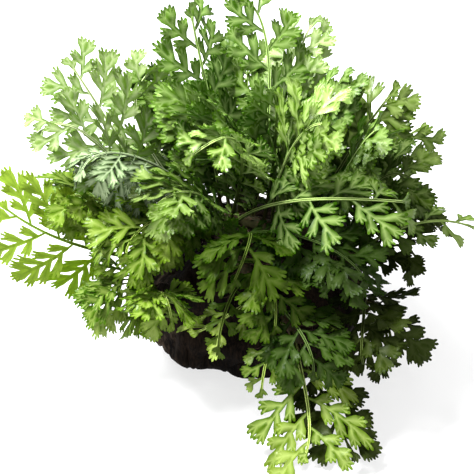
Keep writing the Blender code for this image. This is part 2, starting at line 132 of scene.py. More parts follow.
# Leaflets: the wedges on both sides of their midrib, and the fingers that each wedge ends in
WEDGE_PITCH = 3.5 * MM
WEDGE_BASE = 0.95 * MM
WEDGE_CURVE = 0.1  # how far a wedge bends towards its leaflet's tip, as a share of its length
WEDGE_STATIONS = ((-0.04, 0.0), (0.26, 0.34), (0.52, 0.95), (0.82, 0.9))
END_WEDGE_SIZE = 6 * MM  # over this, the wedge that ends a leaflet may have one finger more
FINGER_SIZES = (2.4 * MM, 5.4 * MM)  # the shortest wedges with two and with three fingers
FINGER_WIDTH = 1.7 * MM
FINGER_TURN = math.radians(17)
VEIN_REACH = 0.5 * MM
BLADE_HALF_THICKNESS = 0.07 * MM
FOLD_DEPTH = 0.3 * MM
RIPPLE = 1.1 * MM
FULL_RIPPLE = 2.5 * MM  # how far from its midrib a blade ripples in full
LAYER_DROOP = 26  # degrees that a second layer of leaflets hangs lower
SEEDS_A_FROND = 40
DEEPEST = Vector((2, 2, 42)) * MM  # where the painted shade of the plant is darkest
PAINTED_SHADE_REACH = (34 * MM, 78 * MM)  # how far from there the painted shade begins to ease, and ends

# What keeps a leaflet in the imported model's box: the places on its edge that are tried, as shares
# of its length and half its width, how far inside they have to be, the sizes that it may have so
# that they are, and the one that it has otherwise. Each point is then moved this far inside.
LEAFLET_EDGE = ((1, 0), (0.9, 0.8), (0.9, -0.8), (0.6, 1), (0.6, -1))
WELL_INSIDE = 0.4 * MM
ROOM_SHARES = (1, 0.94, 0.88, 0.82, 0.76, 0.7)
LEAST_ROOM = 0.64
INSIDE = 0.05 * MM

# Ribs
RIB_RING = 2.2 * MM  # from one ring of points to the next along a frond's rib
FEWEST_RIB_RINGS = 12
RIB_SUNK = 1.2 * MM

# The rib's section, from its right side over its two ridges to its left side and underneath, as
# shares of its half width and half thickness, with how pale each corner is: the rib's paler colour,
# and also a painted highlight on the ridges and painted shade in the groove and underneath
RIB_SECTION = (
    (1.0, 0.0, 0.2),
    (0.95, 0.5, 0.5),
    (0.66, 0.9, 1.0),
    (0.32, 0.62, 0.5),
    (0.0, 0.25, 0.0),
    (-0.32, 0.62, 0.5),
    (-0.66, 0.9, 1.0),
    (-0.95, 0.5, 0.5),
    (-1.0, 0.0, 0.2),
    (-0.72, -0.62, 0.2),
    (0.0, -0.92, 0.2),
    (0.72, -0.62, 0.2),
)

# Finishes
STALK_BROWN = (0.05, 0.045, 0.015)
FAINT_SHEEN = 0.02  # more would grey the dark surfaces under the white studio

# Each rhizome's route over the wood, in millimetres
RHIZOMES = {
    "rhizome_crest": [(-26, 4, 56), (-13, 2, 60), (0, -1, 62), (14, -4, 60), (27, -8, 56)],
    "rhizome_left": [(-32, 4, 56), (-39, 0, 52), (-48, -5, 42), (-49, -16, 32), (-42, -36, 26)],
    "rhizome_right": [(32, -9, 56), (40, -12, 50), (48, -18, 40), (48, -28, 28)],
    "rhizome_front": [(-10, -7, 60), (-10, -22, 58), (0, -38, 50), (10, -46, 38), (17, -48, 24)],
    "rhizome_back": [(-4, 6, 60), (-5, 16, 58), (2, 32, 50), (14, 34, 38), (24, 32, 26)],
}

# The fronds, in millimetres: the rhizome, how far along it from 0 to 1, a point halfway along the
# frond and its tip, the turn of its face about its rib in degrees, its longest leaflet and its
# colour.
FRONDS = {
    # Those that reach out to the left
    "frond_far_left": ("rhizome_left", 0.5, (-72, -24, 60), (-99, -27, 81), -60, 26, "yellow"),
    "frond_high_left": ("rhizome_left", 0.05, (-57, 3, 98), (-74, 9, 125), -56, 23, "pale"),
    "frond_left": ("rhizome_left", 0.28, (-60, -14, 98), (-84, -15, 100), -40, 19, "pale"),
    "frond_left_bud": ("rhizome_crest", 0.04, (-46, 14, 90), (-39, 18, 118), -40, 18, "pale"),
    "frond_curled": ("rhizome_crest", 0.12, (-47, -18, 93), (-67, -31, 87), -14, 19, "bluish"),
    "frond_left_drooping": ("rhizome_left", 0.6, (-50, -30, 45), (-51, -36, 31), -30, 18, "fresh"),
    "frond_left_low": ("rhizome_left", 0.92, (-39, -44, 51), (-36, -52, 40), -16, 17, "fresh"),
    "frond_left_inner": ("rhizome_left", 0.36, (-60, -14, 70), (-78, -22, 70), -30, 20, "fresh"),
    "frond_left_front": ("rhizome_crest", 0.2, (-38, -30, 74), (-48, -44, 62), -26, 19, "fresh"),
    "frond_left_back": ("rhizome_left", 0.42, (-62, 14, 62), (-84, 24, 60), -20, 21, "green"),
    # Those of the crown, with those that arch forward from it
    "frond_crown_left": ("rhizome_crest", 0.3, (-19, 9, 112), (-25, 15, 145), -18, 24, "green"),
    "frond_crown": ("rhizome_crest", 0.5, (6, 18, 116), (-8, 25, 144), -12, 22, "green"),
    "frond_crown_right": ("rhizome_crest", 0.7, (15, 24, 106), (28, 36, 133), 12, 20, "pale"),
    "frond_high_right": ("rhizome_crest", 0.8, (24, 10, 98), (33, 15, 114), 18, 20, "green"),
    "frond_crown_front": ("rhizome_crest", 0.38, (-11, -2, 98), (-22, -8, 118), -20, 20, "green"),
    "frond_crown_low": ("rhizome_crest", 0.24, (-19, 2, 94), (-28, -2, 113), -22, 19, "green"),
    "frond_crown_middle": ("rhizome_crest", 0.58, (8, -8, 98), (6, -16, 122), 6, 20, "green"),
    "frond_arching": ("rhizome_front", 0.1, (19, -48, 92), (56, -42, 88), 30, 22, "glossy"),
    "frond_bright": ("rhizome_crest", 0.64, (18, -30, 106), (34, -44, 114), 26, 23, "glossy"),
    "frond_bright_left": ("rhizome_front", 0.02, (0, -38, 110), (-14, -54, 114), -18, 19, "glossy"),
    # Those that reach out to the right
    "frond_right_tall": ("rhizome_crest", 0.92, (42, 2, 94), (57, 4, 115), 38, 21, "olive"),
    "frond_right_high": ("rhizome_right", 0.04, (52, -4, 90), (71, -2, 106), 44, 21, "olive"),
    "frond_centre_right": ("rhizome_crest", 0.96, (36, -24, 98), (46, -28, 112), 24, 20, "green"),
    "frond_right": ("rhizome_right", 0.24, (47, -18, 82), (68, -20, 76), 30, 22, "olive"),
    "frond_far_right": ("rhizome_right", 0.4, (66, -10, 61), (92, -9, 57), 10, 13, "olive"),
    "frond_right_inner": ("rhizome_right", 0.16, (44, -28, 78), (55, -38, 76), 30, 20, "olive"),
    "frond_right_drooping": ("rhizome_right", 0.54, (55, -16, 54), (67, -20, 48), 40, 18, "dark"),
    "frond_right_low": ("rhizome_right", 0.86, (52, -34, 28), (58, -40, 11), 44, 20, "dark"),
    "frond_right_back": ("rhizome_right", 0.36, (60, 6, 60), (82, 14, 48), 10, 21, "dark"),
    # Those that hang over the front
    "frond_over_left": ("rhizome_front", 0.2, (-22, -32, 86), (-40, -42, 82), -14, 19, "glossy"),
    "frond_hanging_left": ("rhizome_front", 0.46, (-10, -54, 52), (-14, -62, 32), -8, 17, "fresh"),
    "frond_hanging": ("rhizome_front", 0.38, (5, -54, 62), (6, -66, 44), 4, 19, "fresh"),
    "frond_sprig": ("rhizome_front", 0.56, (-14, -52, 42), (-25, -54, 38), -12, 10, "lime"),
    "frond_middle": ("rhizome_front", 0.3, (-2, -46, 76), (-10, -60, 60), -6, 20, "fresh"),
    "frond_middle_right": ("rhizome_front", 0.24, (22, -50, 76), (36, -64, 66), 12, 20, "green"),
    "frond_across": ("rhizome_right", 0.48, (34, -50, 66), (23, -64, 67), -20, 18, "green"),
    "frond_front": ("rhizome_front", 0.64, (16, -64, 49), (20, -74, 37), 4, 21, "green"),
    "frond_front_right": ("rhizome_right", 0.64, (34, -62, 49), (30, -70, 38), 12, 19, "dark"),
    "frond_corner": ("rhizome_right", 0.98, (49, -44, 47), (55, -50, 30), 26, 18, "dark"),
    "frond_front_left": ("rhizome_front", 0.76, (5, -60, 39), (2, -68, 27), -6, 18, "fresh"),
    "frond_front_low": ("rhizome_front", 0.88, (19, -74, 18), (15, -98, 8), 10, 27, "lime"),
    "frond_front_shaded": ("rhizome_front", 0.98, (29, -74, 15), (35, -90, 7), 12, 18, "dark"),
    # Those of the back
    "frond_back_low_left": ("rhizome_back", 0.5, (-20, 46, 44), (-34, 66, 30), 0, 22, "green"),
    "frond_back_low": ("rhizome_back", 0.78, (6, 54, 34), (0, 78, 16), 0, 22, "green"),
    "frond_back_low_right": ("rhizome_back", 0.96, (36, 50, 30), (50, 70, 20), 0, 22, "green"),
    "frond_back_left": ("rhizome_crest", 0.16, (-38, 28, 72), (-58, 46, 66), 0, 22, "green"),
    "frond_back_middle_left": ("rhizome_back", 0.28, (-18, 42, 76), (-26, 66, 70), 0, 22, "green"),
    "frond_back_middle": ("rhizome_back", 0.4, (6, 46, 70), (12, 72, 58), 0, 22, "green"),
    "frond_back_middle_right": ("rhizome_back", 0.62, (32, 42, 60), (48, 58, 56), 0, 22, "green"),
    "frond_back_right": ("rhizome_crest", 0.86, (42, 24, 76), (62, 38, 78), 0, 22, "green"),
    "frond_back_high_left": ("rhizome_back", 0.06, (-28, 24, 96), (-44, 38, 108), 0, 22, "green"),
    "frond_back_high": ("rhizome_back", 0.16, (0, 32, 100), (4, 52, 112), 0, 22, "green"),
    "frond_back_high_right": ("rhizome_crest", 0.72, (26, 26, 96), (42, 36, 104), 0, 22, "green"),
}


def fronds(words):
    """The fronds that these words name, each without its first word."""
    return [f"frond_{word}" for word in words.split()]


def by_frond(groups):
    """Each frond that a group's words name, with that group's value."""
    return {name: value for value, words in groups.items() for name in fronds(words)}


# The fronds that stand clear of the others, whose leaflets are in turn on one side and the other.
# In the thick of the plant they are in pairs.
SPARSE_FRONDS = fronds(
    "far_left high_left left left_bud crown_left crown right_high far_right arching front_low sprig "
    "corner right_low"
)

# Those that are so thick with leaflets that a second layer lies under the first
BUSHY_FRONDS = fronds(
    "left_inner left_front left_low left_drooping left_back over_left back_left crown_low crown_front "
    "back_middle_left back_middle back_high back_high_left back_middle_right back_high_right "
    "centre_right"
)

# How long and wide the leaflets of some fronds are, as a share of the usual
FULLNESS = by_frond(
    {
        0.42: "hanging_left",
        0.58: "front_left",
        0.9: "hanging",
        1.05: "left_low",
        1.1: "middle over_left",
        1.15: "bright left_inner back_middle back_middle_right",
        1.2: "crown_front crown_low curled left_back back_high_left back_high back_high_right back_right",
        1.25: "back_left back_middle_left",
        1.32: "left_drooping",
        1.35: "left_front sprig",
    }
)

# How small the wedges and fingers of some fronds are, as a share of the usual
FINENESS = by_frond(
    {
        0.55: "curled",
        0.75: "left_low left_drooping hanging_left front_left",
        0.8: "far_left left_front hanging middle_right across right_low right_drooping",
        0.85: "arching left_inner over_left middle front bright_left",
        0.9: "high_left left",
    }
)

# How far, in degrees, the face of a frond is turned about the rib from that of its solid
FACE_TURNS = {"frond_bright": 50}

# How much painted light the leaves of some fronds have: those in the shade of others are painted
# darker than the usual 1, and those above it are painted lighter
PAINTED_LIGHTNESS = by_frond(
    {
        0.2: "middle_right",
        0.25: "middle hanging_left",
        0.3: "front right_inner",
        0.35: "across",
        0.4: "hanging",
        0.65: "right over_left arching",
        0.8: "front_left",
        0.88: "bright",
        1.05: "left_inner",
        1.1: "bright_left left_front",
        1.15: "left_drooping left_low",
        1.2: "centre_right",
        1.25: "crown_right",
        1.3: "crown high_right right_tall",
        1.5: "crown_left sprig",
        1.6: "right_high right_back",
        1.8: "crown_front crown_low",
        1.9: "crown_middle far_right",
    }
)

# The leaves' colours: the blade in the shade of its folds, the blade in its young tips, its ribs,
# and the light that comes through it. The 'dark' colours are painted shade for fronds that lie in the
# shade of others, and the 'yellow' and 'pale' blades are lighter in part as painted backlight.
LEAF_COLOURS = {
    "yellow": ((0.11, 0.2, 0.012), (0.33, 0.42, 0.07), (0.09, 0.17, 0.012), (0.46, 0.6, 0.09)),
    "pale": ((0.05, 0.12, 0.008), (0.22, 0.32, 0.08), (0.38, 0.44, 0.24), (0.34, 0.5, 0.08)),
    "bluish": ((0.01, 0.034, 0.005), (0.08, 0.135, 0.045), (0.34, 0.42, 0.24), (0.07, 0.16, 0.03)),
    "fresh": ((0.024, 0.07, 0.001), (0.13, 0.225, 0.008), (0.24, 0.31, 0.07), (0.16, 0.34, 0.004)),
    "green": ((0.013, 0.045, 0.001), (0.075, 0.155, 0.007), (0.2, 0.28, 0.09), (0.11, 0.26, 0.005)),
    "glossy": ((0.02, 0.066, 0.001), (0.145, 0.26, 0.016), (0.36, 0.47, 0.16), (0.16, 0.36, 0.006)),
    "olive": ((0.012, 0.033, 0.0008), (0.066, 0.12, 0.005), (0.15, 0.2, 0.06), (0.12, 0.24, 0.004)),
    "dark": ((0.006, 0.012, 0.0004), (0.026, 0.043, 0.003), (0.04, 0.053, 0.014), (0.04, 0.08, 0.002)),
    "lime": ((0.045, 0.095, 0.002), (0.17, 0.25, 0.018), (0.28, 0.35, 0.1), (0.22, 0.37, 0.008)),
}

# The share of light that comes through each, its roughness and its wet gloss
LEAF_SURFACES = {
    "yellow": (0.5, 0.45, 0.05),
    "pale": (0.45, 0.42, 0.06),
    "bluish": (0.2, 0.5, 0.03),
    "fresh": (0.4, 0.42, 0.1),
    "green": (0.35, 0.4, 0.1),
    "glossy": (0.35, 0.32, 0.18),
    "olive": (0.35, 0.42, 0.08),
    "dark": (0.15, 0.55, 0.02),
    "lime": (0.35, 0.4, 0.1),
}


# Growth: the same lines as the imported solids


def smooth_step(low, high, value):
    share = min(max((value - low) / (high - low), 0), 1)
    return share * share * (3 - 2 * share)


def wobble(first, second):
    """A fixed, uneven number from -1 to 1 for each pair of indices."""
    return math.sin(12.9898 * first + 78.233 * second + 1.7)


def curve_through(points, count):
    """That many points on the smooth curve through these."""
    ends = [points[0] * 2 - points[1], *points, points[-1] * 2 - points[-2]]
    found = []
    for step in range(count):
        place = step / (count - 1) * (len(points) - 1)
        index = min(int(place), len(points) - 2)
        t = place - index
        a, b, c, d = ends[index : index + 4]
        bent = b * 2 + (c - a) * t + (a * 2 - b * 5 + c * 4 - d) * t**2
        found.append((bent + (b * 3 - a - c * 3 + d) * t**3) / 2)
    return found


def towards(first, second, angle):
    """The direction at this angle from the first one, on the way to the second."""
    return first * math.cos(angle) + second * math.sin(angle)


class Rhizome:
    """A stretch of creeping stem: its centre line, and the wood's outward direction under it."""

    def __init__(self, route, wood_tree):
        rough = curve_through([Vector(point) * MM for point in route], RHIZOME_STATIONS)
        self.centres, self.outward = [], []
        for point in rough:
            place, normal, _, _ = wood_tree.find_nearest(point)
            self.centres.append(place + normal * (RHIZOME_RADIUS + RHIZOME_CLEARANCE))
            self.outward.append(normal)
        pairs = zip(self.centres, self.centres[1:])
        self.length = sum((far - near).length for near, far in pairs)

    def radius(self, share):
        return RHIZOME_RADIUS * (1 - RHIZOME_TAPER * share)

    def place(self, share):
        """The centre, the outward direction and the direction along, at this share of its length."""
        index = min(int(share * (RHIZOME_STATIONS - 1)), RHIZOME_STATIONS - 2)
        t = share * (RHIZOME_STATIONS - 1) - index
        near, far = self.centres[index], self.centres[index + 1]
        outward = self.outward[index].lerp(self.outward[index + 1], t).normalized()
        return near.lerp(far, t), outward, (far - near).normalized()

    def section(self, share):
        """What place gives there, then the direction across the stem and the one square to both."""
        centre, outward, along = self.place(share)
        across = along.cross(outward).normalized()
        return centre, outward, along, across, across.cross(along)


class Spine:
    """The curved rib of a frond, from its root on a rhizome to its tip."""

    def __init__(self, root, leaving, through, tip, turn):
        chord = tip - root
        self.turn, self.leaving = turn, leaving
        self.across = UP.cross(Vector((chord.x, chord.y, 0))).normalized()
        # Halfway along, these handles put the curve at the straight point and 0.544 of the bend.
        straight = root + chord * 0.41 + leaving * (chord.length * 0.075)
        bend = (through - straight) / 0.544
        start = root + leaving * (chord.length * 0.2) + chord * 0.1 + bend * 0.45
        self.handles = (root, start, root + chord * 0.66 + bend, tip)
        points = [self.curve(step / SPINE_STEPS) for step in range(SPINE_STEPS + 1)]
        self.distances = [0.0]
        for near, far in zip(points, points[1:]):
            self.distances.append(self.distances[-1] + (far - near).length)
        self.length = self.distances[-1]

    def curve(self, t):
        a, b, c, d = self.handles
        return a * (1 - t) ** 3 + b * 3 * t * (1 - t) ** 2 + c * 3 * t**2 * (1 - t) + d * t**3

    def slope(self, t):
        a, b, c, d = self.handles
        slope = (b - a) * (1 - t) ** 2 + (c - b) * 2 * t * (1 - t) + (d - c) * t**2
        return self.leaving.lerp(slope.normalized(), smooth_step(0, SQUARE_START, t)).normalized()

    def share_at(self, distance):
        for step in range(SPINE_STEPS):
            near, far = self.distances[step], self.distances[step + 1]
            if distance <= far:
                return (step + (distance - near) / (far - near)) / SPINE_STEPS
        return 1.0

    def frame(self, distance):
        """The point there, and the directions along the rib, to its left and out of its upper face."""
        t = self.share_at(distance)
        along = self.slope(t)
        left = (self.across - along * self.across.dot(along)).normalized()
        out = along.cross(left)
        left = towards(left, out, self.turn)
        return self.curve(t), along, left, along.cross(left)


def leaflet_count(spine):
    wanted = round(spine.length * (1 - STALK_SHARE) / LEAFLET_PITCH) - 1
    return max(FEWEST_LEAFLETS, min(MOST_LEAFLETS, wanted))


class Leaflet:
    """A leaflet's own curved surface, on the left of the rib for an even index, else on the right."""

    def __init__(self, spine, spread, number, index, count, opposite=False):
        share = (index + 0.5) / (count + 1)
        side = 1 if (index % 2 == 0) != opposite else -1
        distance = spine.length * (STALK_SHARE + (1 - STALK_SHARE) * share)
        self.base, self.along, left, self.out = spine.frame(distance)
        self.aside = left * side
        self.base += self.aside * STALK_HALF_WIDTH * 0.8
        # The longest is a little below the middle of the leafy length.
        self.length = spread * math.sin(math.pi * (0.24 + 0.68 * share)) ** 0.8
        self.lean = math.radians(64 - 24 * share + 3 * wobble(number, index))
        room = 2 * spine.length * (1 - STALK_SHARE) / (count + 1) * math.sin(self.lean)
        self.width = min(LEAFLET_WIDTH * self.length, LEAFLET_ROOM * room)
        self.curl = math.radians(16)
        self.droop = math.radians(6 + 12 * wobble(number + 0.5, index))
        self.bend = math.radians(22 + 14 * wobble(number, index + 0.5))
        self.twist = math.radians(9 * wobble(number + 0.3, index + 0.3))

    def point(self, share, forward):
        """The point at this share of its length, and this far towards the frond's tip, and its face."""
        lean = self.lean - self.curl * share / 2
        droop = self.droop + self.bend * share / 2
        flat = towards(self.along, self.aside, lean)
        outward = towards(flat, -self.out, droop)
        face = towards(self.out, flat, droop)
        ahead = towards(towards(-self.aside, self.along, lean), face, self.twist)
        return self.base + outward * (self.length * share) + ahead * forward, face


class EndLeaflet:
    """The leaflet that ends a frond, straight on along its rib."""

    def __init__(self, spine, start):
        self.spine, self.start = spine, start
        self.length = spine.length - start

    def point(self, share, forward):
        centre, _, left, out = self.spine.frame(self.start + self.length * share)
        return centre - left * forward, out


def spine_on(rhizome, at, through, tip, turn):
    """The spine that leaves this place on a rhizome's skin."""
    centre, outward, stem = rhizome.place(at)
    aim = (through - centre).normalized() + outward * 0.6
    leaving = (aim - stem * aim.dot(stem)).normalized()
    root = centre + leaving * (rhizome.radius(at) + ROOT_GAP)
    return Spine(root, leaving, through, tip, turn)


def forms_near(frond, rhizomes, corners):
    """Each spine and leaflet length that the frond may have, where its tip is one of the corners."""
    rhizome, at, through, tip, turn, spread, _ = frond
    through, tip = Vector(through) * MM, Vector(tip) * MM
    sideways = UP.cross(Vector((tip.x, tip.y, 0))).normalized()
    steps = range(-MOST_STEPS, MOST_STEPS + 1)
    for aside, up in ((aside, up) for aside in steps for up in steps):
        move = (sideways * aside + UP * up) * STEP_ASIDE
        if corners.find(tip + move)[2] > TIP_ERROR:
            continue
        for root_move in ROOT_MOVES:
            root = min(max(at + root_move, 0), 1)
            middle, end = through + move * 0.5, tip + move
            spine = spine_on(rhizomes[rhizome], root, middle, end, math.radians(turn))
            for share in SPREAD_SHARES:
                yield spine, spread * share * MM


def form_of(name, number, rhizomes):
    """The spine and the longest leaflet that the frond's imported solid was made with."""
    points = [corner.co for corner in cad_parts[name].data.vertices]
    corners = KDTree(len(points))
    for index, point in enumerate(points):
        corners.insert(point, index)
    corners.balance()
    best = (FORM_ERROR, None, None)
    for spine, spread in forms_near(FRONDS[name], rhizomes, corners):
        count = leaflet_count(spine)
        off = 0
        for index in (0, 1, 2):
            leaflet = Leaflet(spine, spread, number, index, count)
            off += corners.find(leaflet.point(1.0, SOLID_TIP * leaflet.width)[0])[2]
        if off < best[0]:
            best = (off, spine, spread)
    if best[1] is None:
        raise ValueError(f"{name} has none of the forms that it may have")
    return best[1:]


# Meshes


def linked(name, data):
    """A new object of the scene, with this data."""
    made = bpy.data.objects.new(name, data)
    bpy.context.scene.collection.objects.link(made)
    return made


def dressed(name, data, material, sharp_angle):
    """The mesh as an object of the scene in this material, smooth but for its sharp edges."""
    data.materials.append(material)
    data.shade_smooth()
    data.set_sharp_from_angle(angle=math.radians(sharp_angle))
    return linked(name, data)


def walls(rings):
    """The four-cornered faces between each ring and the next, which has as many corners."""
    for near, far in zip(rings, rings[1:]):
        for side in range(len(near)):
            following = (side + 1) % len(near)
            yield near[side], near[following], far[following], far[side]


def tree_of(mesh):
    """The tree that finds the nearest place on this mesh."""
    corners = [corner.co.copy() for corner in mesh.vertices]
    return BVHTree.FromPolygons(corners, [tuple(face.vertices) for face in mesh.polygons])


class Skin:
    """The points, faces and painted values that a piece's mesh is made from."""

    def __init__(self):
        self.points, self.faces = [], []
        self.paint = {}

    def add(self, point, **painted):
        for name, value in painted.items():
            self.paint.setdefault(name, {})[len(self.points)] = value
        self.points.append(point)
        return len(self.points) - 1

    def tube(self, rings):
        """Walls between these rings, with both ends closed."""
        self.faces += [*walls(rings), tuple(reversed(rings[0])), tuple(rings[-1])]

    def build(self, name, material, sharp_angle):
        data = bpy.data.meshes.new(name)
        data.from_pydata(self.points, [], self.faces)
        for paint, values in self.paint.items():
            layer = data.attributes.new(paint, "FLOAT", "POINT")
            layer.data.foreach_set("value", [values.get(i, 0.0) for i in range(len(self.points))])
        return dressed(name, data, material, sharp_angle)


def area(places, triangles):
    return sum(geometry.area_tri(*[places[i] for i in triangle]) for triangle in triangles)


def headed(heading):
    """The flat direction with this heading, and the one square to it on its left."""
    ahead = Vector((math.cos(heading), math.sin(heading)))
    return ahead, Vector((-ahead.y, ahead.x))


class Outline:
    """A leaflet's flat shape: overlapping rings of points, and the veins that run through them."""

    def __init__(self, length, width, dice, fineness):
        self.places, self.rings, self.veins = [], [], []
        self.fineness = fineness
        self.add_midrib(length)
        count = max(2, round(0.66 * length / (WEDGE_PITCH * fineness)))
        first = dice.choice((1, -1))
        for index in range(count):
            share = 0.05 + 0.62 * (index + 0.5 + dice.uniform(-0.2, 0.2)) / count
            lean = math.radians(50 - 14 * share + dice.uniform(-6, 6))
            # The widest place is about a third of the way along.
            reach = width / 2 * (1.04 - 1.3 * (share - 0.34) ** 2) * dice.uniform(0.88, 1.08)
            reach = min(reach / math.sin(lean), (0.98 - share) * length / math.cos(lean))
            side = first if index % 2 == 0 else -first
            self.add_wedge(Vector((share * length, 0)), side * lean, reach, side, dice)
        heading = math.radians(dice.uniform(-4, 4))
        self.add_wedge(Vector((0.6 * length, 0)), heading, 0.4 * length, 0, dice)

    def add_strip(self, stations):
        """The ring round a strip of these middles and half widths: up its right side and back."""
        right = [middle - half for middle, half in stations]
        left = [middle + half for middle, half in reversed(stations)]
        start = len(self.places)
        self.places += right + left
        self.rings.append(list(range(start, len(self.places))))

    def add_vein(self, near, far):
        self.veins.append((len(self.places), len(self.places) + 1))
        self.places += [near, far]

    def add_midrib(self, length):
        stations = ((-0.7 * MM, 0.5), (0.1 * length, 0.7), (0.45 * length, 1.05), (0.72 * length, 1.1))
        halves = [(along, half * self.fineness * MM) for along, half in stations]
        self.add_strip([(Vector((along, 0)), Vector((0, half))) for along, half in halves])
        for near, far in ((0.0, 0.16), (0.16, 0.4), (0.4, 0.62)):
            self.add_vein(Vector((near * length, 0)), Vector((far * length, 0)))

    def add_wedge(self, root, heading, length, side, dice):
        """A wedge from the midrib, on its left for a side of 1, that opens into blunt fingers."""
        ahead, across = headed(heading)
        size = length / self.fineness
        fingers = 1 + sum(size >= smallest for smallest in FINGER_SIZES)
        if side == 0 and size > END_WEDGE_SIZE and dice.random() < 0.4:
            fingers += 1
        half = min((fingers + 0.3) * FINGER_WIDTH * self.fineness * 0.38, 0.3 * length)
        pitch = 2 * half / fingers
        curve = -side * WEDGE_CURVE * dice.uniform(0.4, 1.6) * length
        base = min(WEDGE_BASE * self.fineness, half * 0.75)
        stations = []
        for share, widening in WEDGE_STATIONS:
            middle = root + ahead * length * share + across * curve * max(share, 0) ** 2
            stations.append((middle, across * (base + (half - base) * widening)))
        self.add_strip(stations)
        low = root + ahead * length * 0.28 + across * curve * 0.08
        knot = root + ahead * length * 0.55 + across * curve * 0.3
        self.add_vein(root, low)
        self.add_vein(low, knot)
        for finger in range(fingers):
            offset = finger - (fingers - 1) / 2
            turn = heading + 1.5 * curve / length + offset * FINGER_TURN
            turn += math.radians(dice.uniform(-7, 7))
            # The outer fingers start lower than the middle ones, and they end lower.
            from_root = 0.74 - 0.05 * abs(offset)
            start = root + ahead * length * from_root + across * (curve * 0.5 + offset * pitch * 0.84)
            reach = length * (1 - 0.07 * abs(offset) ** 1.4 - from_root) * dice.uniform(0.82, 1.16)
            self.add_finger(start, turn, reach, pitch * dice.uniform(0.84, 1.0))
            self.add_vein(knot, start + (start - knot) * 0.5)

    def add_finger(self, start, heading, length, width):
        ahead, across = headed(heading)
        half = across * (width / 2)
        shoulder = start + ahead * max(length - width * 0.45, length * 0.4)
        end = start + ahead * length
        self.add_strip([(start, half * 0.9), (shoulder, half * 0.92), (end, half * 0.3)])

    def vein_share(self, place):
        """1 on a vein, falling to 0 at the vein's reach from it."""
        nearest = VEIN_REACH
        for near, far in self.veins:
            a, b = self.places[near], self.places[far]
            line = b - a
            t = min(max((place - a).dot(line) / line.length_squared, 0), 1)
            nearest = min(nearest, (place - a - line * t).length)
        return 1 - nearest / VEIN_REACH

    def overfilled(self, places, triangles):
        """Whether the sheet covers more than its rings do, as it does where one fails to close."""
        fans = [(ring[0], *pair) for ring in self.rings for pair in zip(ring[1:], ring[2:])]
        return area(places, triangles) > area(self.places, fans) * 1.05

    def union(self):
        """All the rings as one sheet: its places, its triangles, its border and what it uses."""
        found = geometry.delaunay_2d_cdt(self.places, self.veins, self.rings, 0, 1e-6, True)
        places, _, faces, _, _, covers = found
        triangles = [triangle for triangle, rings in zip(faces, covers) if rings]
        if self.overfilled(places, triangles):
            return None
        edges = [pair for corners in triangles for pair in zip(corners, corners[1:] + corners[:1])]
        inner = {(far, near) for near, far in edges}
        border = [edge for edge in edges if edge not in inner]
        used = {index for triangle in triangles for index in triangle}
        return places, triangles, border, used


def in_box(point):
    """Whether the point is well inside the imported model's box."""
    places = zip(cad_box[0], point, cad_box[1])
    return all(low + WELL_INSIDE < place < high - WELL_INSIDE for low, place, high in places)


def kept_in_box(point):
    """The point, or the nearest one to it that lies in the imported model's box."""
    places = zip(cad_box[0], point, cad_box[1])
    return Vector([min(max(place, low + INSIDE), high - INSIDE) for low, place, high in places])


def room_for(leaflet, length, width):
    """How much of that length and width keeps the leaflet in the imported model's box."""
    for share in ROOM_SHARES:
        out, aside = length * share / leaflet.length, width * share / 2
        if all(in_box(leaflet.point(out * x, aside * y)[0]) for x, y in LEAFLET_EDGE):
            return share
    return LEAST_ROOM


def daylight(point):
    """How much painted light a leaf has there: less deep in the plant, where the colour is painted darker
    as shade.
    """
    return 0.35 + 0.65 * smooth_step(*PAINTED_SHADE_REACH, (point - DEEPEST).length)


def add_blade(skin, leaflet, size, seed, young, tone, light, fineness):
    """A leaflet's thin blade, folded along its veins and rippled, on the leaflet's curved surface."""
    dice = random.Random(seed)
    room = room_for(leaflet, *size)
    length, width = size[0] * room, size[1] * room
    sheet = None
    while sheet is None:
        outline = Outline(length, width, dice, fineness)
        sheet = outline.union()
    places, triangles, border, used = sheet
    lift = dice.uniform(0.15, 0.5) * MM
    upper, lower = {}, {}
    for index in used:
        place = places[index]
        vein = outline.vein_share(place)
        centre, face = leaflet.point(place.x / leaflet.length, place.y)
        spread = min(abs(place.y) / FULL_RIPPLE, 1)
        ripple = noise.noise(Vector((place.x, place.y, 0)) * 260 + Vector((0, 0, seed * 0.37)))
        fold = abs(place.y) * 0.12 - FOLD_DEPTH * vein
        height = fold + ripple * spread * RIPPLE + lift * math.sin(place.x * 900) * spread
        half = BLADE_HALF_THICKNESS * (1 + 1.2 * vein)
        # Towards its tips and edges the blade is lighter: partly younger colour, partly painted light on
        # lit edges
        near_tip = min(max(place.x / length, abs(place.y) / (width / 2)), 1)
        painted = {"vein": vein, "young": young * 0.6 + near_tip * 0.4, "tone": tone}
        # The painted light: painted shade deep in the plant, times the frond's painted lightness
        painted["grown_in"] = light * daylight(centre)
        upper[index] = skin.add(kept_in_box(centre + face * (height + half)), **painted)
        lower[index] = skin.add(kept_in_box(centre + face * (height - half)), **painted)
    middle, face = leaflet.point(0.5, 0)
    forward = leaflet.point(0.5, 1 * MM)[0] - middle
    outward = middle - leaflet.point(0.4, 0)[0]
    turned = outward.cross(forward).dot(face) < 0
    for a, b, c in triangles:
        if turned:
            a, c = c, a
        skin.faces.append((upper[a], upper[b], upper[c]))
        skin.faces.append((lower[c], lower[b], lower[a]))
    for near, far in border:
        if turned:
            near, far = far, near
        skin.faces.append((upper[near], lower[near], lower[far], upper[far]))


